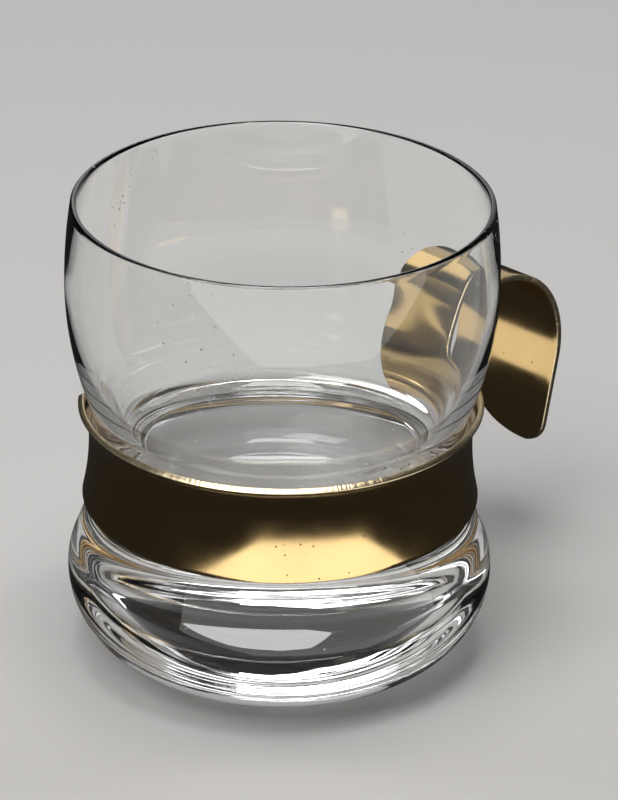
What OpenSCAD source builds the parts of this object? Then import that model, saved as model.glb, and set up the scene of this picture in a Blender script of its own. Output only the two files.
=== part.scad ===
// Tea glass in a sheet-brass holder.
// A waisted glass with a heavy base, and a holder bent from one piece of sheet brass: an
// open band grips the waist, and its end turns up into a leg and a hook for a finger.
// Millimetres. The glass's axis is Z, it stands on z = 0, and the handle points along +X.

/* [Glass] */
// Height from the table to the top of the lip
glass_h = 87; // [82:1:100]
// Outside radius of the rim
rim_r = 37.5; // [36:0.5:42]
// Wall thickness at the lip, which is rounded over
rim_wall = 1.2; // [1:0.1:2.2]
// How far the bowl swells out beyond the rim
bowl_swell = 1.15; // [0.5:0.05:2.5]
// Height of the widest place of the bowl
bowl_z = 71.5; // [68:0.5:76]
// Wall thickness at the widest place of the bowl
bowl_wall = 1.5; // [1.2:0.1:3]
// Wall thickness at the waist
waist_wall = 2.8; // [2:0.1:5]
// Height of the flat floor inside the bowl
floor_z = 36; // [30:0.5:37]
// Radius of the corner between the floor and the wall
floor_round = 5; // [2:0.5:6]
// Outside radius of the waist
waist_r = 33.35; // [31:0.05:35]
// Height of the waist
waist_z = 41.5; // [39:0.5:44]
// Outside radius of the base at its widest
base_r = 38.7; // [36:0.1:42]
// Radius of the base's rounded lower edge
base_round = 15.5; // [6:0.5:18]

/* [Band] */
// Thickness of the sheet brass
sheet_t = 1.2; // [0.8:0.1:1.4]
// Gap between the sheet and the glass at the waist
sheet_gap = 0.1; // [0.08:0.01:0.2]
// Height of the band's top edge above the waist
band_up = 6.9; // [5:0.1:8]
// Height of the band below the waist
band_down = 11.9; // [9:0.1:13]
// How far the top edge stands off from the glass behind it, beyond the gap
top_stand_off = 1.13; // [0.6:0.01:1.8]
// Angle round the glass from the middle of the handle to the band's free end
band_angle = 229; // [200:1:240]
// Radius of the free end's two corners
end_corner = 1; // [0.5:0.1:3]

/* [Leg] */
// Width of the strip
strip_w = 19; // [15:0.5:24]
// Distance from the middle of the handle to the leg's far edge, where it leaves the band
leg_far = 5.5; // [4:0.1:7]
// Radius of the corner between the band's lower edge and the leg's far edge
leg_corner = 18.5; // [8:0.5:18.5]
// Radius of the corner between the band's top edge and the leg's near edge
leg_fillet = 5; // [2:0.5:8]
// Height over the band where the far edge begins to spread to the strip's full width
spread_from = 2.5; // [2:0.5:8]
// Length of that spread
spread = 10; // [8:1:26]

/* [Hook] */
// Straight rise from the band's top edge to the first bend
riser = 7.6; // [6:0.1:14]
// Radius of the first bend, from the riser into the crown
bend_r = 11; // [6:0.1:16]
// Angle from straight up that the strip has at the end of the first bend
bend_angle = 98; // [90:1:104]
// Radius of the gently falling crown
crown_r = 21.2; // [14:0.2:40]
// Angle from straight up at the end of the crown
crown_angle = 118; // [106:1:122]
// Radius of the shoulder that turns the strip down
shoulder_r = 18; // [12:0.2:22]
// Angle from straight up at the end of the shoulder
shoulder_angle = 192.5; // [184:0.5:196]
// Length of the straight free limb below the shoulder
tail = 17.6; // [14:0.2:22]
// Sideways distance of the free end's lowest place from the middle of the strip
tip_side = 5.5; // [0:0.5:6]
// Length of the short rounding of the free end, on the side of its lowest place
tip_short = 4; // [3:0.5:8]
// Length of the long rounding on the other side
tip_long = 9.6; // [5:0.2:12]

/* [Hidden] */
$fn = 96;

// Colours, as seen on the real thing
glass_tint = [0.86, 0.91, 0.92, 0.35];
brass = [0.80, 0.62, 0.33];

// Least straight length between the floor's corner and the waist, and least height of the
// far edge above the corner below it
least_straight = 0.5;
// Steps of each arc in an outline
arc_steps = 14;
// Quarter and half of a turn, in degrees, and the degrees in one radian
quarter = 90;
half_turn = 180;
degree = half_turn / PI;

// Points of an arc round centre c from angle a0 to a1, without the first point
function arc(c, r, a0, a1, n = arc_steps) =
    [for (i = [1:n]) let (a = a0 + (a1 - a0) * i / n) c + r * [cos(a), sin(a)]];

// Radius of the arc that leaves an upright tangent and moves aside by d over the height h
function flare_r(d, h) = (h * h + d * d) / (2 * d);
// How far an arc of radius r has moved aside at the height h over its upright tangent
function flare(r, h) = r - sqrt(max(0, r * r - h * h));

// Two arcs from the upright tangent at q up to the one at p turn by this angle each, and
// their radii have this sum
function wave_turn(q, p) = 2 * atan(abs(p[0] - q[0]) / (p[1] - q[1]));
function wave_radii(q, p) = (p[1] - q[1]) / sin(wave_turn(q, p));

// The two arcs, with the share of the sum that the upper one has. The wider end bows
// outward and the narrower end inward.
function wave(q, p, share) =
    let (turn = wave_turn(q, p), rp = wave_radii(q, p) * share, rq = wave_radii(q, p) - rp)
    p[0] > q[0]
        ? concat(arc([q[0] + rq, q[1]], rq, half_turn, half_turn - turn),
                 arc([p[0] - rp, p[1]], rp, -turn, 0))
        : concat(arc([q[0] - rq, q[1]], rq, 0, turn),
                 arc([p[0] + rp, p[1]], rp, half_turn + turn, half_turn));

// Glass
bowl_r = rim_r + bowl_swell;
lip_r = rim_wall / 2;
lip_z = glass_h - lip_r;
upper_r = flare_r(bowl_swell, lip_z - bowl_z);
inside_r = bowl_r - bowl_wall;
inside_upper_r = flare_r(inside_r - (rim_r - rim_wall), lip_z - bowl_z);
neck_r = waist_r - waist_wall;
floor_corner = min(floor_round, waist_z - floor_z - least_straight);
// Shares of the two arcs between bowl and waist, and between waist and base
bowl_arc_share = 0.727;
waist_arc_share = 0.8;
base_side = [base_r, base_round];
waist_side = [waist_r, waist_z];
bowl_side = [bowl_r, bowl_z];

// Up the inside from the middle of the floor to the lip
inside_outline = concat(
    [[0, floor_z], [neck_r - floor_corner, floor_z]],
    arc([neck_r - floor_corner, floor_z + floor_corner], floor_corner, -quarter, 0),
    [[neck_r, waist_z]],
    wave([neck_r, waist_z], [inside_r, bowl_z], bowl_arc_share),
    arc([inside_r - inside_upper_r, bowl_z], inside_upper_r, 0,
        asin((lip_z - bowl_z) / inside_upper_r)));

// Up the outside from the flat foot, over the lip, and down the inside. The arc over the
// lip ends where the inside begins, so that point is left out there.
outline = concat(
    [[0, 0], [base_r - base_round, 0]],
    arc([base_r - base_round, base_round], base_round, -quarter, 0),
    wave(base_side, waist_side, waist_arc_share),
    wave(waist_side, bowl_side, bowl_arc_share),
    arc([bowl_r - upper_r, bowl_z], upper_r, 0, asin((lip_z - bowl_z) / upper_r)),
    arc([rim_r - lip_r, lip_z], lip_r, 0, half_turn),
    [for (i = [len(inside_outline) - 2:-1:0]) inside_outline[i]]);

module tea_glass() {
    color(glass_tint) rotate_extrude() polygon(outline);
}

// Holder: a flat blank in the shape of an L, bent into place. On the blank, u runs round
// the glass from the middle of the handle, and v runs up from the waist and then along
// the leg and the hook. The band's section is two arcs that meet at the waist: the lower
// one follows the glass, and the upper one leaves it.
band_r = waist_r + sheet_gap;
glass_top_flare = sign(bowl_r - waist_r)
    * flare(wave_radii(waist_side, bowl_side) * (1 - bowl_arc_share), band_up);
top_r = flare_r(max(0, glass_top_flare) + top_stand_off, band_up);
bottom_r = wave_radii(base_side, waist_side) * waist_arc_share - sheet_gap;
top_turn = asin(band_up / top_r);
bottom_turn = asin(band_down / bottom_r);
high_v = top_r * top_turn / degree;
low_v = -bottom_r * bottom_turn / degree;
corner_r = min(leg_corner, high_v - low_v - least_straight);

// Runs of the leg and the hook, from the band's top edge: length, and heading at the start
// and the end. A heading of 0 is straight up and 90 is straight outward.
runs = [
    [riser, top_turn, top_turn],
    [bend_r * (bend_angle - top_turn) / degree, top_turn, bend_angle],
    [crown_r * (crown_angle - bend_angle) / degree, bend_angle, crown_angle],
    [shoulder_r * (shoulder_angle - crown_angle) / degree, crown_angle, shoulder_angle],
    [tail, shoulder_angle, shoulder_angle]];
run_steps = [9, 8, 5, 12, 12];

function run_start(k) = k == 0 ? high_v : run_start(k - 1) + runs[k - 1][0];
end_v = run_start(len(runs));

// A spot on the blank's middle line is [v, radius, height, heading], taken on the face
// that looks towards the glass
function band_spot(v) =
    let (r = v > 0 ? top_r : bottom_r, a = v / r * degree)
    [v, band_r + r - r * cos(a), waist_z + r * sin(a), a];

// The spot after going the share f along run k from the spot p
function along(p, k, f) =
    let (run = runs[k], a = run[1], b = a + (run[2] - a) * f, s = run[0] * f,
         r = run[2] == a ? 0 : run[0] * degree / (run[2] - a),
         move = run[2] == a ? s * [sin(a), cos(a)] : r * [cos(a) - cos(b), sin(b) - sin(a)])
    [p[0] + s, p[1] + move[0], p[2] + move[1], b];
function run_spot(k) = k == 0 ? band_spot(high_v) : along(run_spot(k - 1), k - 1, 1);

// Spots up the leg and along the hook. They crowd at both ends, where the outline is round.
leg_spots = [for (k = [0:len(runs) - 1])
    let (p = run_spot(k), n = run_steps[k])
    for (i = [1:n])
        along(p, k, k == 0 ? 1 - cos(quarter * i / n)
                  : k == len(runs) - 1 ? sin(quarter * i / n) : i / n)];

// Share of a rounding's width that is left at the distance d from its end, over the
// length h. A small share stays at the very end.
tip_share = 0.05;
function rounding(d, h) = d > h ? 1 : max(tip_share, sqrt(1 - pow(1 - d / h, 2)));

// A smooth step from 0 to 1
function ease(x) = let (t = max(0, min(1, x))) t * t * (3 - 2 * t);

// The near and the far edge of the leg and the hook at v, as places u. The near edge starts
// with the fillet, the far edge spreads out, and the free end is an oval with its lowest
// place off the middle.
fillet_u = -strip_w / 2 - leg_fillet;
function near_edge(v) = end_v - v < tip_short
    ? -tip_side - (strip_w / 2 - tip_side) * rounding(end_v - v, tip_short)
    : -strip_w / 2 - (v > high_v + leg_fillet ? 0 : flare(leg_fillet, high_v + leg_fillet - v));
function far_edge(v) = end_v - v < tip_long
    ? -tip_side + (strip_w / 2 + tip_side) * rounding(end_v - v, tip_long)
    : leg_far + (strip_w / 2 - leg_far) * ease((v - high_v - spread_from) / spread);

// Columns of points across the blank: round the free end's corners, along the band, and
// across the leg, crowding towards its far edge
end_steps = 3;
band_steps = 45;
leg_steps = 10;
leg_from = end_steps + band_steps;
last_column = leg_from + leg_steps;
free_u = -band_r * band_angle / degree;
function leg_share(i) = sin(quarter * (i - leg_from) / leg_steps);
function column_u(i) =
    i < end_steps ? free_u + end_corner * (1 - cos(quarter * i / end_steps))
    : i < leg_from ? free_u + end_corner
        + (fillet_u - free_u - end_corner) * (i - end_steps) / band_steps
    : fillet_u + (leg_far - fillet_u) * leg_share(i);

// The band's lower and upper edge at a column. The lower edge runs into the big corner.
function end_inset(i) = i < end_steps ? end_corner * (1 - sin(quarter * i / end_steps)) : 0;
function band_low(i) = low_v + end_inset(i)
    + flare(corner_r, max(0, column_u(i) - leg_far + corner_r));
function band_high(i) = high_v - end_inset(i);

// How much of the band's roundness the strip keeps across its width: all of it on the
// band, fading to none along the riser
function hug(v) = v <= high_v ? 1 : v > high_v + riser ? 0
    : 0.5 + 0.5 * cos(half_turn * (v - high_v) / riser);

// The point at u across the spot, at the depth d outward from the face towards the glass
function bent(u, spot, d) =
    let (c = hug(spot[0]), turn = c * u / band_r * degree, aside = (1 - c) * u,
         r = spot[1] + d * cos(spot[3]))
    [r * cos(turn) - aside * sin(turn), r * sin(turn) + aside * cos(turn),
     spot[2] - d * sin(spot[3])];

// Rows of points: up the band's height, and then along the leg and the hook
band_rows = 7;
last_row = band_rows + len(leg_spots);
function band_point(i, j, d) =
    bent(column_u(i), band_spot(band_low(i) + (band_high(i) - band_low(i)) * j / band_rows), d);
function leg_point(i, j, d) =
    let (spot = leg_spots[j - band_rows - 1], near = near_edge(spot[0]))
    bent(near + (far_edge(spot[0]) - near) * leg_share(i), spot, d);

function face_points(d) = concat(
    [for (i = [0:last_column], j = [0:band_rows]) band_point(i, j, d)],
    [for (i = [leg_from:last_column], j = [band_rows + 1:last_row]) leg_point(i, j, d)]);
band_count = (last_column + 1) * (band_rows + 1);
face_count = band_count + (leg_steps + 1) * len(leg_spots);
// Number of the point at column i and row j on the face towards the glass
function at(i, j) = j <= band_rows ? i * (band_rows + 1) + j
    : band_count + (i - leg_from) * len(leg_spots) + j - band_rows - 1;

// Every cell of the grid, and the way round the blank's rim
cells = concat(
    [for (i = [0:last_column - 1], j = [0:band_rows - 1]) [i, j]],
    [for (i = [leg_from:last_column - 1], j = [band_rows:last_row - 1]) [i, j]]);
rim = concat(
    [for (i = [0:last_column]) at(i, 0)],
    [for (j = [1:last_row]) at(last_column, j)],
    [for (i = [last_column - 1:-1:leg_from]) at(i, last_row)],
    [for (j = [last_row - 1:-1:band_rows]) at(leg_from, j)],
    [for (i = [leg_from - 1:-1:0]) at(i, band_rows)],
    [for (j = [band_rows - 1:-1:1]) at(0, j)]);

module brass_holder() {
    inner = [for (c = cells)
        let (a = at(c[0], c[1]), b = at(c[0] + 1, c[1]), e = at(c[0] + 1, c[1] + 1),
             f = at(c[0], c[1] + 1))
        each [[a, b, e], [a, e, f]]];
    outer = [for (t = inner) [t[0], t[2], t[1]] + face_count * [1, 1, 1]];
    edge = [for (k = [0:len(rim) - 1])
        let (a = rim[k], b = rim[(k + 1) % len(rim)])
        each [[a, a + face_count, b + face_count], [a, b + face_count, b]]];
    color(brass) polyhedron(concat(face_points(0), face_points(sheet_t)),
                            concat(inner, outer, edge));
}

tea_glass();
brass_holder();
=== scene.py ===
# %% [markdown]
# # A tea glass in a sheet-brass holder
# The object is a waisted glass with a heavy base, and a holder bent from one piece of
# sheet brass. An open band grips the waist, and its end turns up into a leg and a hook
# for a finger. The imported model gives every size; this script gives the pieces their fine
# shape and their finish. All lengths in Blender are metres.

# %% Load the frame
from math import asin, atan, cos, degrees, pi, radians, sin, sqrt
import bpy
import bmesh
from mathutils import Matrix, Vector


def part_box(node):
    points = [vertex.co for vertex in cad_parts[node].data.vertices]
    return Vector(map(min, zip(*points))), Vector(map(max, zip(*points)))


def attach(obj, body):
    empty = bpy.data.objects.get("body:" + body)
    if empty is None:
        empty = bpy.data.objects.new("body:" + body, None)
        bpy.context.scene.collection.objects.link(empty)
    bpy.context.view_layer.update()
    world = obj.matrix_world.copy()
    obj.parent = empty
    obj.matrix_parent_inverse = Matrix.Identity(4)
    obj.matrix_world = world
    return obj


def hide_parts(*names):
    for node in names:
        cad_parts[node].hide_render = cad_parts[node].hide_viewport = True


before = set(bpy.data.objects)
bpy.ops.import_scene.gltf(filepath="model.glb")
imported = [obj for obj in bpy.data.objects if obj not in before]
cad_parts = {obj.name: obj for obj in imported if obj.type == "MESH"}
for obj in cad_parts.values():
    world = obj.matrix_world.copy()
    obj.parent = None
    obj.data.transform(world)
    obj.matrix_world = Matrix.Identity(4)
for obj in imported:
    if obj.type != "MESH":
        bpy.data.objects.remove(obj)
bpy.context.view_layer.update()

# %% [markdown]
# ## Camera
# The camera stands where the photograph was taken. Its elevation and its roll came from
# the two ellipses of the rim, its azimuth from the direction of the handle, and its
# distance from how much smaller the far rim looks than the near one. It is made first,
# so that every later piece can be looked at from the same place.

# %% Camera
MM = 0.001
glass_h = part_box("tea_glass")[1][2]
rim_r = 37.5 * MM
camera_elevation = radians(26.11)
camera_azimuth = radians(-46.63)
camera_roll = radians(0.86)
camera_distance = 18 * rim_r
aim_right, aim_down = 0.1335 * rim_r, 0.9363 * rim_r
lens_mm, sensor_mm = 173.1, 36

camera_data = bpy.data.cameras.new("camera")
camera_data.lens, camera_data.sensor_width = lens_mm, sensor_mm
camera = bpy.data.objects.new("camera", camera_data)
bpy.context.scene.collection.objects.link(camera)
right = Vector((1, 0, 0))
up = Vector((0, sin(camera_elevation), cos(camera_elevation)))
ahead = Vector((0, cos(camera_elevation), -sin(camera_elevation)))
place = Vector((0, 0, glass_h)) + right * aim_right - up * aim_down - ahead * camera_distance
axes = (cos(camera_roll) * right + sin(camera_roll) * up,
        cos(camera_roll) * up - sin(camera_roll) * right, -ahead)
pose = Matrix(axes).transposed().to_4x4()
pose.translation = place
camera.matrix_world = Matrix.Rotation(camera_azimuth, 4, "Z") @ pose
bpy.context.scene.camera = camera
print("camera at", [round(c, 3) for c in camera.matrix_world.translation])

# %% [markdown]
# ## Helpers for outlines and pieces
# A turned outline is drawn with arcs that meet on a common tangent, because blown glass
# and rolled sheet have no corners. The first three helpers give such arcs. The fourth
# turns a finished bmesh into an object that rides on its body, takes its material slot
# and stands in for its CAD node. It also prints whether the mesh is closed, and its
# volume. The last three build node materials.

# %% Helpers
sharp_angle = radians(40)


def arc(centre, radius, start, end, steps):
    """Points of an arc in degrees, without its first point."""
    angles = [radians(start + (end - start) * i / steps) for i in range(1, steps + 1)]
    return [(centre[0] + radius * cos(a), centre[1] + radius * sin(a)) for a in angles]


def flare_radius(aside, height):
    """Radius of the arc that leaves an upright tangent and moves aside over a height."""
    return (height ** 2 + aside ** 2) / (2 * aside)


def wave(low, high, share, steps):
    """Two arcs between two upright tangents; the upper one has the share of their radii."""
    turn = 2 * degrees(atan(abs(high[0] - low[0]) / (high[1] - low[1])))
    radii = (high[1] - low[1]) / sin(radians(turn))
    upper, lower = radii * share, radii * (1 - share)
    if high[0] > low[0]:
        return (arc((low[0] + lower, low[1]), lower, 180, 180 - turn, steps)
                + arc((high[0] - upper, high[1]), upper, -turn, 0, steps))
    return (arc((low[0] - lower, low[1]), lower, 0, turn, steps)
            + arc((high[0] + upper, high[1]), upper, 180 + turn, 180, steps))


def make_piece(bm, name, body, replaced, materials):
    """Turn a bmesh into a piece of the object that replaces a CAD node."""
    open_edges = sum(1 for edge in bm.edges if not edge.is_manifold)
    print(name, len(bm.faces), "faces", open_edges, "open edges",
          round(bm.calc_volume() * 1e9, 1), "mm3")
    mesh = bpy.data.meshes.new(name)
    bm.to_mesh(mesh)
    bm.free()
    mesh.shade_smooth()
    mesh.set_sharp_from_angle(angle=sharp_angle)
    for material in materials:
        mesh.materials.append(material)
    piece = bpy.data.objects.new(name, mesh)
    bpy.context.scene.collection.objects.link(piece)
    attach(piece, body)
    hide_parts(replaced)


def new_material(name):
    """A node material and its Principled shader."""
    material = bpy.data.materials.new(name)
    material.use_nodes = True
    return material, material.node_tree.nodes["Principled BSDF"]


def node(material, kind, inputs=None, **settings):
    """Add a shader node, set its fields, and set or link its inputs by name or number."""
    made = material.node_tree.nodes.new(kind)
    for field, value in settings.items():
        setattr(made, field, value)
    for key, value in (inputs or {}).items():
        if isinstance(value, bpy.types.NodeSocket):
            material.node_tree.links.new(value, made.inputs[key])
        else:
            made.inputs[key].default_value = value
    return made


def link(material, source, target):
    material.node_tree.links.new(source, target)


# %% [markdown]
# ## Clear glass
# Soda-lime glass is clear with a faint grey-green body. Light bends in it, so the shader
# is a Principled one with full transmission. Nothing real is perfectly clean, so dust
# specks scatter a little light. They lower the transmission in tiny spots, found with a
# Voronoi texture on the object's own coordinates, and a wide noise gathers them in
# patches. A very weak, wide bump gives the slight waviness that moulded glass keeps.

# %% Clear glass
glass_tint, glass_ior = (0.985, 0.995, 0.99, 1), 1.51
wave_scale, wave_strength, wave_depth = 60.0, 0.06, 0.6 * MM
dust_scale, dust_patch_scale, largest_speck_share = 420.0, 40.0, 0.16
clean_below, dusty_above = 0.5, 0.75
speck_clearness, speck_roughness = 0.55, 0.5


def clear_glass():
    material, shader = new_material("clear_glass")
    shader.inputs["Base Color"].default_value = glass_tint
    shader.inputs["IOR"].default_value = glass_ior
    coords = node(material, "ShaderNodeTexCoord").outputs["Object"]
    waves = node(material, "ShaderNodeTexNoise", {"Vector": coords, "Scale": wave_scale,
                                                  "Detail": 1.0})
    bump = node(material, "ShaderNodeBump", {"Height": waves.outputs["Fac"],
                                             "Strength": wave_strength, "Distance": wave_depth})
    dust = node(material, "ShaderNodeTexVoronoi", {"Vector": coords, "Scale": dust_scale})
    patches = node(material, "ShaderNodeTexNoise", {"Vector": coords, "Scale": dust_patch_scale,
                                                    "Detail": 2.0})
    size = node(material, "ShaderNodeMapRange", {"Value": patches.outputs["Fac"],
                                                 "From Min": clean_below, "From Max": dusty_above,
                                                 "To Min": 0.0, "To Max": largest_speck_share})
    speck = node(material, "ShaderNodeMath", {0: dust.outputs["Distance"],
                                              1: size.outputs["Result"]}, operation="LESS_THAN")
    through = node(material, "ShaderNodeMapRange", {"Value": speck.outputs["Value"],
                                                    "To Min": 1.0, "To Max": speck_clearness})
    rough = node(material, "ShaderNodeMapRange", {"Value": speck.outputs["Value"],
                                                  "To Min": 0.0, "To Max": speck_roughness})
    link(material, through.outputs["Result"], shader.inputs["Transmission Weight"])
    link(material, rough.outputs["Result"], shader.inputs["Roughness"])
    link(material, bump.outputs["Normal"], shader.inputs["Normal"])
    return material


glass_material = clear_glass()
print(glass_material.name, len(glass_material.node_tree.nodes), "nodes")

# %% [markdown]
# ## The glass
# The real glass is blown or pressed in a mould that is turned about one axis, so it is
# modelled as one outline and a full spin. The outline starts under the foot, goes up the
# outside, over the rounded lip and down the inside to the flat floor. The wall stays thin
# down to the waist. The base below the floor is solid, which makes the glass heavy.

# %% The glass
base_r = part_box("tea_glass")[1][0]
base_round, waist_r, waist_z = 15.5 * MM, 33.35 * MM, 41.5 * MM
bowl_r, bowl_z = rim_r + 1.15 * MM, 71.5 * MM
lip_r, bowl_wall, waist_wall = 0.6 * MM, 1.5 * MM, 2.8 * MM
floor_z, floor_round = 36 * MM, 5 * MM
lip_z = glass_h - lip_r
bowl_arc_share, waist_arc_share = 0.727, 0.8
outline_steps, turn_steps = 24, 256


def glass_outline():
    upper_r = flare_radius(bowl_r - rim_r, lip_z - bowl_z)
    inside_r, neck_r = bowl_r - bowl_wall, waist_r - waist_wall
    inside_upper_r = flare_radius(inside_r - rim_r + 2 * lip_r, lip_z - bowl_z)
    upper_turn = degrees(asin((lip_z - bowl_z) / upper_r))
    inside_turn = degrees(asin((lip_z - bowl_z) / inside_upper_r))
    steps = outline_steps
    inside = ([(0, floor_z), (neck_r - floor_round, floor_z)]
              + arc((neck_r - floor_round, floor_z + floor_round), floor_round, -90, 0, steps)
              + [(neck_r, waist_z)]
              + wave((neck_r, waist_z), (inside_r, bowl_z), bowl_arc_share, steps)
              + arc((inside_r - inside_upper_r, bowl_z), inside_upper_r, 0, inside_turn,
                    steps // 2))
    return ([(0, 0), (base_r - base_round, 0)]
            + arc((base_r - base_round, base_round), base_round, -90, 0, steps)
            + wave((base_r, base_round), (waist_r, waist_z), waist_arc_share, steps)
            + wave((waist_r, waist_z), (bowl_r, bowl_z), bowl_arc_share, steps)
            + arc((bowl_r - upper_r, bowl_z), upper_r, 0, upper_turn, steps // 2)
            + arc((rim_r - lip_r, lip_z), lip_r, 0, 180, steps // 2)
            + inside[-2::-1])


def spin_outline(points, steps):
    """Spin an outline that starts and ends on the axis, and close its poles."""
    bm = bmesh.new()
    verts = [bm.verts.new((x, 0, z)) for x, z in points]
    edges = [bm.edges.new(pair) for pair in zip(verts, verts[1:])]
    bmesh.ops.spin(bm, geom=verts + edges, cent=(0, 0, 0), axis=(0, 0, 1), angle=2 * pi,
                   steps=steps, use_merge=True)
    bmesh.ops.remove_doubles(bm, verts=bm.verts, dist=1e-7)
    bmesh.ops.recalc_face_normals(bm, faces=bm.faces)
    return bm


make_piece(spin_outline(glass_outline(), turn_steps), "glass_body", "glass",
           "tea_glass", [glass_material])

# %% [markdown]
# ## Brass
# The holder is cut from one sheet of brass, polished on its faces and worn by use. The polish
# leaves very fine lines, and years leave dull smudges and small dark specks. The sheet's UV map
# is its flat blank, so these marks follow the metal round every bend. The cut edges are rougher
# and grainy from the saw, and their colour is painted paler than the faces as a painted highlight.

# %% Brass
brass_colour, polished_roughness = (0.86, 0.60, 0.27, 1), 0.1
brush_scale, brush_strength, brush_depth = (5200, 160, 1), 0.15, 0.02 * MM
smudge_scale, smudge_shade, smudge_dulling = 90.0, 0.86, 1.8
smudge_from, smudge_to = 0.35, 0.75
speck_scale, speck_share, speck_colour = 520.0, 0.09, (0.09, 0.05, 0.02, 1)
# The cut edges' colour is painted paler than the brass, a painted highlight along the edges; their
# grain bump and roughness are real.
cut_colour_painted_paler, cut_roughness = (1.0, 0.83, 0.54, 1), 0.26
grain_scale, grain_strength, grain_depth = 3200.0, 0.6, 0.16 * MM


def sheet_brass(name):
    material, shader = new_material(name)
    shader.inputs["Metallic"].default_value = 1.0
    flat = node(material, "ShaderNodeUVMap", uv_map="blank").outputs["UV"]
    stretch = node(material, "ShaderNodeMapping", {"Vector": flat, "Scale": brush_scale})
    brushed = node(material, "ShaderNodeTexNoise", {"Vector": stretch.outputs["Vector"],
                                                    "Scale": 1.0, "Detail": 3.0})
    smudge = node(material, "ShaderNodeTexNoise", {"Vector": flat, "Scale": smudge_scale,
                                                   "Detail": 4.0})
    smudged = tuple(c * smudge_shade for c in brass_colour[:3]) + (1,)
    tint = node(material, "ShaderNodeMix", {"Factor": smudge.outputs["Fac"], "A": brass_colour,
                                            "B": smudged}, data_type="RGBA")
    dots = node(material, "ShaderNodeTexVoronoi", {"Vector": flat, "Scale": speck_scale})
    speck = node(material, "ShaderNodeMath", {0: dots.outputs["Distance"], 1: speck_share},
                 operation="LESS_THAN")
    spotted = node(material, "ShaderNodeMix", {"Factor": speck.outputs["Value"],
                                               "A": tint.outputs["Result"],
                                               "B": speck_colour}, data_type="RGBA")
    rough = node(material, "ShaderNodeMapRange", {"Value": smudge.outputs["Fac"],
                                                  "From Min": smudge_from, "From Max": smudge_to,
                                                  "To Min": polished_roughness,
                                                  "To Max": polished_roughness * smudge_dulling})
    bump = node(material, "ShaderNodeBump", {"Height": brushed.outputs["Fac"],
                                             "Strength": brush_strength, "Distance": brush_depth})
    link(material, spotted.outputs["Result"], shader.inputs["Base Color"])
    link(material, rough.outputs["Result"], shader.inputs["Roughness"])
    link(material, bump.outputs["Normal"], shader.inputs["Normal"])
    return material


def cut_brass():
    material, shader = new_material("cut_brass")
    shader.inputs["Metallic"].default_value = 1.0
    # Painted highlight: this pale base colour makes the cut edges read as bright lines.
    shader.inputs["Base Color"].default_value = cut_colour_painted_paler
    flat = node(material, "ShaderNodeUVMap", uv_map="blank").outputs["UV"]
    grain = node(material, "ShaderNodeTexNoise", {"Vector": flat, "Scale": grain_scale,
                                                  "Detail": 2.0})
    bump = node(material, "ShaderNodeBump", {"Height": grain.outputs["Fac"],
                                             "Strength": grain_strength, "Distance": grain_depth})
    shader.inputs["Roughness"].default_value = cut_roughness
    link(material, bump.outputs["Normal"], shader.inputs["Normal"])
    return material


sheet_material = sheet_brass("holder_brass")
cut_material = cut_brass()
for brass in (sheet_material, cut_material):
    print(brass.name, len(brass.node_tree.nodes), "nodes")

# %% [markdown]
# ## The blank's outline
# A maker saws the holder out of flat sheet before bending it. The blank is an L: a long
# low arm for the band, and a tall arm for the leg and the hook. On the blank, u runs round
# the glass from the middle of the handle, and v runs up from the waist. The outer corner
# of the L is a big round, the inner one a small fillet, and the hook's end is an oval.
# The edge functions take how far the outline is drawn in, which the edge rounding needs.

# %% The blank's outline
sheet_t, sheet_gap, strip_w = 1.2 * MM, 0.1 * MM, 19 * MM
band_up, band_down, top_stand_off = 6.9 * MM, 11.9 * MM, 1.13 * MM
band_angle, end_corner = radians(229), 1 * MM
leg_far, leg_corner, leg_fillet = 5.5 * MM, 18.5 * MM, 5 * MM
spread_from, spread = 2.5 * MM, 10 * MM
tip_side, tip_short, tip_long, tip_share = 5.5 * MM, 4 * MM, 9.6 * MM, 0.02
riser, bend_r, crown_r, shoulder_r, tail = 7.6 * MM, 11 * MM, 21.2 * MM, 18 * MM, 17.6 * MM
bend_angle, crown_angle, shoulder_angle = radians(98), radians(118), radians(192.5)


def wave_radii(low, high):
    return (high[1] - low[1]) / sin(2 * atan(abs(high[0] - low[0]) / (high[1] - low[1])))


def flare(r, h):
    """How far an arc has moved aside at a height over its upright tangent."""
    return r - sqrt(max(0, r * r - h * h))


band_r = waist_r + sheet_gap
glass_flare = flare(wave_radii((waist_r, waist_z), (bowl_r, bowl_z)) * (1 - bowl_arc_share),
                    band_up)
top_r = flare_radius(glass_flare + top_stand_off, band_up)
bottom_r = wave_radii((base_r, base_round), (waist_r, waist_z)) * waist_arc_share - sheet_gap
top_turn, bottom_turn = asin(band_up / top_r), asin(band_down / bottom_r)
low_v, high_v = -bottom_r * bottom_turn, top_r * top_turn
runs = [(riser, top_turn, top_turn),
        (bend_r * (bend_angle - top_turn), top_turn, bend_angle),
        (crown_r * (crown_angle - bend_angle), bend_angle, crown_angle),
        (shoulder_r * (shoulder_angle - crown_angle), crown_angle, shoulder_angle),
        (tail, shoulder_angle, shoulder_angle)]
end_v = high_v + sum(run[0] for run in runs)
free_u, fillet_u = -band_r * band_angle, -strip_w / 2 - leg_fillet
print("blank", round((strip_w / 2 - free_u) / MM, 1), "by", round((end_v - low_v) / MM, 1), "mm")


def rounding(distance, length):
    """Share of the width that a rounded end leaves at a distance from its end."""
    if distance >= length:
        return 1
    return max(tip_share, sqrt(1 - (1 - distance / length) ** 2))


def near_edge(v, inset):
    left = end_v - inset - v
    half = strip_w / 2 - inset
    if left < tip_short - inset:
        return -tip_side - (half - tip_side) * rounding(left, tip_short - inset)
    if v > high_v + leg_fillet:
        return -half
    return fillet_u + sqrt(max(0, (leg_fillet + inset) ** 2 - (high_v + leg_fillet - v) ** 2))


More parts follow.
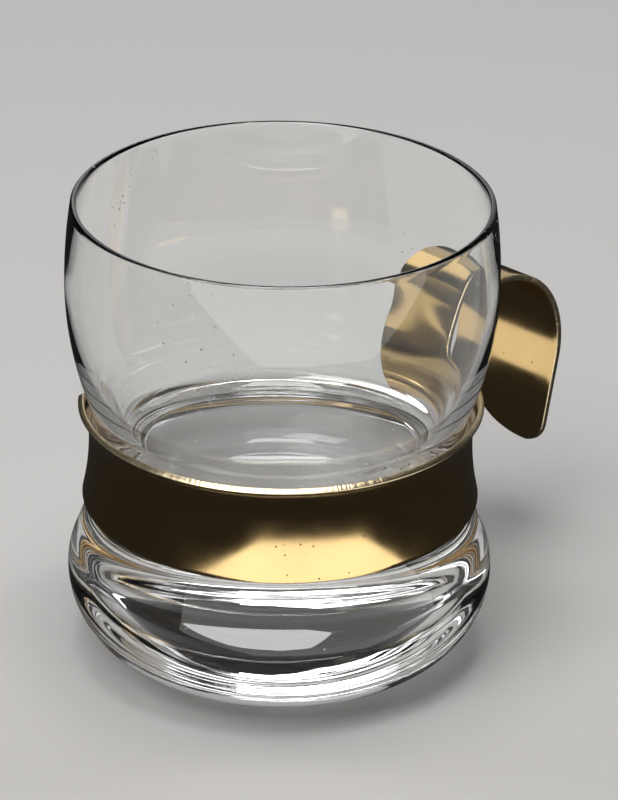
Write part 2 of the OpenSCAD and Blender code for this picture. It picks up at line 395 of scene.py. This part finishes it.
def far_edge(v, inset):
    left = end_v - inset - v
    half = strip_w / 2 - inset
    if left < tip_long - inset:
        return -tip_side + (half + tip_side) * rounding(left, tip_long - inset)
    t = max(0, min(1, (v - high_v - spread_from) / spread))
    return leg_far - inset + (half - leg_far + inset) * t * t * (3 - 2 * t)


def band_edges(u, inset):
    """The band's lower and upper edge at u, round the free end and the big corner."""
    into_corner = max(0, u - leg_far + leg_corner)
    low = low_v + inset + flare(leg_corner - inset, into_corner)
    into_end = max(0, free_u + end_corner - u)
    end = flare(end_corner - inset, into_end)
    return low + end, high_v - inset - end


# %% [markdown]
# ## The bends
# One function bends every flat place. The band is rolled round the waist, and its section
# is two arcs: the lower one follows the glass, and the upper one flares away from it. The
# leg keeps the band's roundness at its foot and grows flat as it rises. Above it come a
# tight bend, the gently falling crown, the shoulder and the straight free limb, so only
# the heading has to be followed.

# %% The bends
def spot(v):
    """Radius, height and heading of the face that looks towards the glass."""
    r = top_r if v > 0 else bottom_r
    if v <= high_v:
        return band_r + r - r * cos(v / r), waist_z + r * sin(v / r), v / r
    radius, z, heading = spot(high_v)
    left = v - high_v
    for length, start, end in runs:
        done = min(left, length)
        heading = start + (end - start) * done / length
        if start == end:
            radius, z = radius + done * sin(start), z + done * cos(start)
        else:
            turn_r = length / (end - start)
            radius += turn_r * (cos(start) - cos(heading))
            z += turn_r * (sin(heading) - sin(start))
        left -= done
        if left <= 0:
            break
    return radius, z, heading


def bend(u, v, depth):
    """Bend a flat place, at a depth outward from the face towards the glass."""
    radius, z, heading = spot(v)
    hug = 0.5 + 0.5 * cos(pi * max(0, min(1, (v - high_v) / riser)))
    turn, aside = hug * u / band_r, (1 - hug) * u
    r = radius + depth * cos(heading)
    return (r * cos(turn) - aside * sin(turn), r * sin(turn) + aside * cos(turn),
            z - depth * sin(heading))


print("crown at", [round(c / MM, 1) for c in bend(0, high_v + riser + 20 * MM, 0)])

# %% [markdown]
# ## The holder
# A grid is the band's face, and the leg is drawn out of the grid's upper edge row by row,
# so both arms are one surface. The rim is then extruded through the thickness in small
# steps, and the steps next to the faces are drawn in to round the sawn edge. A copy of
# the surface closes the other side. Every vertex knows its column and row on the blank;
# its flat place becomes the UV map, and at last the whole blank is bent.

# %% Places on the blank
edge_round = 0.16 * MM
end_columns, band_columns, leg_columns, band_rows, leg_rows = 8, 280, 28, 28, 220
leg_from = end_columns + band_columns
last_column, last_row = leg_from + leg_columns, band_rows + leg_rows


def edge_layers(thickness):
    """Depths through the sheet, with how far the rim is drawn in at each."""
    turn = [90 * i / 3 for i in range(4)]
    near = [(edge_round * (1 - cos(radians(a))), edge_round * (1 - sin(radians(a)))) for a in turn]
    return near + [(thickness - depth, inset) for depth, inset in reversed(near)]


def flat_place(column, row, inset):
    """Where a vertex lies on the flat blank. Vertices crowd where the outline is round."""
    share = sin(pi / 2 * max(0, column - leg_from) / leg_columns)
    if row > band_rows:
        along = (1 - cos(pi * (row - band_rows) / leg_rows)) / 2
        v = high_v - inset + (end_v - high_v) * along
        near, far = near_edge(v, inset), far_edge(v, inset)
        return near + (far - near) * share, v
    end = free_u + end_corner
    if column < end_columns:
        u = end - (end_corner - inset) * cos(pi / 2 * column / end_columns)
    elif column < leg_from:
        u = end + (fillet_u - end) * (column - end_columns) / band_columns
    else:
        u = fillet_u + (leg_far - inset - fillet_u) * share
    low, high = band_edges(u, inset)
    return u, low + (high - low) * row / band_rows


# %% Cut the blank
def is_edge(item):
    return isinstance(item, bmesh.types.BMEdge) and item.is_boundary


def cut_blank():
    """The face of the blank, with the column and row of every vertex."""
    bm = bmesh.new()
    column, row = bm.verts.layers.int.new("column"), bm.verts.layers.int.new("row")
    bm.verts.layers.int.new("layer")
    bmesh.ops.create_grid(bm, x_segments=last_column, y_segments=band_rows, size=0.5)
    for vert in bm.verts:
        vert[column] = round((vert.co.x + 0.5) * last_column)
        vert[row] = round((vert.co.y + 0.5) * band_rows)
    top = [e for e in bm.edges
           if all(v[row] == band_rows and v[column] >= leg_from for v in e.verts)]
    for number in range(band_rows + 1, last_row + 1):
        made = bmesh.ops.extrude_edge_only(bm, edges=top)["geom"]
        for vert in (v for v in made if isinstance(v, bmesh.types.BMVert)):
            vert[row] = number
        top = [e for e in made if is_edge(e) and all(v[row] == number for v in e.verts)]
    return bm


# %% Thicken and bend
def thicken_and_bend(bm, thickness):
    layers = edge_layers(thickness)
    column, row, layer = (bm.verts.layers.int[name] for name in ("column", "row", "layer"))
    face_geom = bm.verts[:] + bm.edges[:] + bm.faces[:]
    back = bmesh.ops.duplicate(bm, geom=face_geom)["geom"]
    for vert in (v for v in back if isinstance(v, bmesh.types.BMVert)):
        vert[layer] = len(layers) - 1
    bmesh.ops.reverse_faces(bm, faces=[f for f in back if isinstance(f, bmesh.types.BMFace)])
    rim = [e for e in face_geom if is_edge(e)]
    for number in range(1, len(layers)):
        made = bmesh.ops.extrude_edge_only(bm, edges=rim)["geom"]
        for vert in (v for v in made if isinstance(v, bmesh.types.BMVert)):
            vert[layer] = number
        rim = [e for e in made if is_edge(e) and all(v[layer] == number for v in e.verts)]
        for face in (f for f in made if isinstance(f, bmesh.types.BMFace)):
            face.material_index = 1
    uv = bm.loops.layers.uv.new("blank")
    flat = {v: flat_place(v[column], v[row], layers[v[layer]][1]) for v in bm.verts}
    for face in bm.faces:
        for loop in face.loops:
            loop[uv].uv = flat[loop.vert]
    for vert in bm.verts:
        vert.co = bend(*flat[vert], layers[vert[layer]][0])
    bmesh.ops.remove_doubles(bm, verts=bm.verts, dist=1e-7)
    bmesh.ops.recalc_face_normals(bm, faces=bm.faces)
    return bm


# %% Make the holder
make_piece(thicken_and_bend(cut_blank(), sheet_t), "holder_sheet", "holder",
           "brass_holder", [sheet_material, cut_material])

# %% [markdown]
# ## Floor and lights
# A plain pale floor and soft lights, as in a small product studio. The floor is hidden
# from mirror reflections, so the brass keeps its dark brown between the bright patches.
# The lights at the back and at the sides are hidden from mirror reflections too, and two
# of them aren't seen through the glass either.

# %% Floor
floor_r, floor_drop = 3.0, 0.1 * MM
floor_colour, floor_roughness = (0.5, 0.49, 0.48, 1), 0.7


def add_staged(bm, name, material):
    mesh = bpy.data.meshes.new(name)
    bm.to_mesh(mesh)
    bm.free()
    mesh.materials.append(material)
    staged = bpy.data.objects.new(name, mesh)
    bpy.context.scene.collection.objects.link(staged)
    print(name, len(mesh.polygons), "faces, staged")
    return staged


def add_floor():
    bm = bmesh.new()
    bmesh.ops.create_circle(bm, cap_ends=True, segments=96, radius=floor_r)
    bmesh.ops.translate(bm, verts=bm.verts, vec=(0, 0, -floor_drop))
    material, shader = new_material("floor_paint")
    shader.inputs["Base Color"].default_value = floor_colour
    shader.inputs["Roughness"].default_value = floor_roughness
    add_staged(bm, "floor", material).visible_glossy = False


add_floor()

# %% Lights
near_r, far_r = 1.0, 1.1


def toward(azimuth, elevation):
    """Direction from the object, with the azimuth measured from the camera's, to the right."""
    a, e = camera_azimuth + radians(azimuth), radians(elevation)
    return Vector((sin(a) * cos(e), -cos(a) * cos(e), sin(e)))


def add_light(name, azimuth, elevation, distance, width, height, watts):
    """A soft box, turned towards the middle of the object."""
    data = bpy.data.lights.new(name, "AREA")
    data.shape, data.size, data.size_y = "RECTANGLE", width, height
    data.energy = watts
    light = bpy.data.objects.new(name, data)
    bpy.context.scene.collection.objects.link(light)
    light.location = Vector((0, 0, glass_h / 2)) + toward(azimuth, elevation) * distance
    light.rotation_mode = "QUATERNION"
    light.rotation_quaternion = toward(azimuth, elevation).to_track_quat("Z", "Y")
    print(name, "at", [round(c, 2) for c in light.location])
    return light


add_light("main_soft", azimuth=-35, elevation=55, distance=far_r, width=0.6, height=0.6, watts=6)
add_light("top_soft", azimuth=0, elevation=86, distance=near_r, width=0.45, height=0.45, watts=5.5)
back = add_light("back_soft", azimuth=165, elevation=28, distance=far_r, width=1.0, height=0.7,
                 watts=2.2)
left = add_light("side_left", azimuth=-112, elevation=24, distance=near_r, width=0.3, height=0.8,
                 watts=2.5)
right = add_light("side_right", azimuth=115, elevation=24, distance=near_r, width=0.3, height=0.8,
                  watts=2.5)
back.visible_transmission = back.visible_glossy = False
left.visible_glossy = right.visible_glossy = left.visible_transmission = False

# %% [markdown]
# ## Screens and cards
# Polished metal shows its surroundings and little else, so what it mirrors is chosen.
# Curved white screens stand where the band, the leg and the crown mirror them. Two small
# one-sided cards stand in the hook, a bright one over a dark one. The free limb mirrors
# them as a pale band above a dark end.

# %% Screens and cards
screen_r, back_screen_r, octagon_share = 0.5, 0.7, 0.414
card_x, card_y = 48 * MM, (-16 * MM, 34 * MM)
shade_z, card_z = (-14 * MM, 31.2 * MM), (31.2 * MM, 37 * MM)


def add_glow(bm, name, strength, through=False, one_sided=False):
    """An even white surface that shows in polished metal, and if asked through glass."""
    material = bpy.data.materials.new(name)
    material.use_nodes = True
    output = material.node_tree.nodes["Material Output"]
    glow = node(material, "ShaderNodeEmission", {"Strength": strength})
    clear = node(material, "ShaderNodeBsdfTransparent")
    back = node(material, "ShaderNodeNewGeometry").outputs["Backfacing"]
    side = node(material, "ShaderNodeMixShader", {0: back, 1: glow.outputs["Emission"],
                                                  2: clear.outputs["BSDF"]})
    link(material, (side if one_sided else glow).outputs[0], output.inputs["Surface"])
    screen = add_staged(bm, name, material)
    screen.visible_camera = screen.visible_diffuse = screen.visible_shadow = False
    screen.visible_transmission = through


def add_screen(name, azimuths, elevations, distance, strength, through=False):
    """A curved eight-sided screen round the object."""
    bm = bmesh.new()
    bmesh.ops.create_grid(bm, x_segments=24, y_segments=12, size=0.5)
    centre = Vector((0, 0, glass_h / 2))
    for vert in bm.verts:
        across, up_share = 2 * vert.co.x, 2 * vert.co.y
        across *= 1 - max(0, abs(up_share) - octagon_share)
        azimuth = sum(azimuths) / 2 + (azimuths[1] - azimuths[0]) / 2 * across
        elevation = sum(elevations) / 2 + (elevations[1] - elevations[0]) / 2 * up_share
        vert.co = centre + toward(azimuth, elevation) * distance
    add_glow(bm, name, strength, through)


def add_card(name, z_range, strength):
    """A small upright card in the hook, which the free limb mirrors."""
    bm = bmesh.new()
    bmesh.ops.create_grid(bm, x_segments=1, y_segments=1, size=0.5)
    for vert in bm.verts:
        y, z = vert.co.x + 0.5, vert.co.y + 0.5
        vert.co = (card_x, card_y[0] + (card_y[1] - card_y[0]) * y,
                   z_range[0] + (z_range[1] - z_range[0]) * z)
    add_glow(bm, name, strength, one_sided=True)


add_screen("front_screen", azimuths=(-50, 86), elevations=(-19, 36), distance=screen_r,
           strength=1.6)
add_screen("leg_screen", azimuths=(-118, -54), elevations=(27, 32), distance=screen_r,
           strength=0.9, through=True)
add_screen("back_screen", azimuths=(140, 205), elevations=(4, 34), distance=back_screen_r,
           strength=0.5, through=True)
add_screen("crown_screen", azimuths=(-188, -134), elevations=(24, 56), distance=screen_r,
           strength=1.1)
add_card("hook_card", card_z, strength=0.9)
add_card("hook_shade", shade_z, strength=0.022)

# %% The room
room_colour, room_strength = (1, 1, 1, 1), 0.02
world = bpy.data.worlds.new("studio")
bpy.context.scene.world = world
world.use_nodes = True
world.node_tree.nodes["Background"].inputs["Color"].default_value = room_colour
world.node_tree.nodes["Background"].inputs["Strength"].default_value = room_strength

# %% [markdown]
# ## Bounces
# Light passes up to eight glass faces on its way through the base, so the default number
# of bounces would leave black patches there.

# %% Bounces
cycles = bpy.context.scene.cycles
cycles.max_bounces, cycles.transmission_bounces, cycles.glossy_bounces = 24, 20, 12
cycles.use_denoising = True
print("bounces", cycles.max_bounces, "at most")
bpy.context.scene.view_settings.view_transform = "Standard"
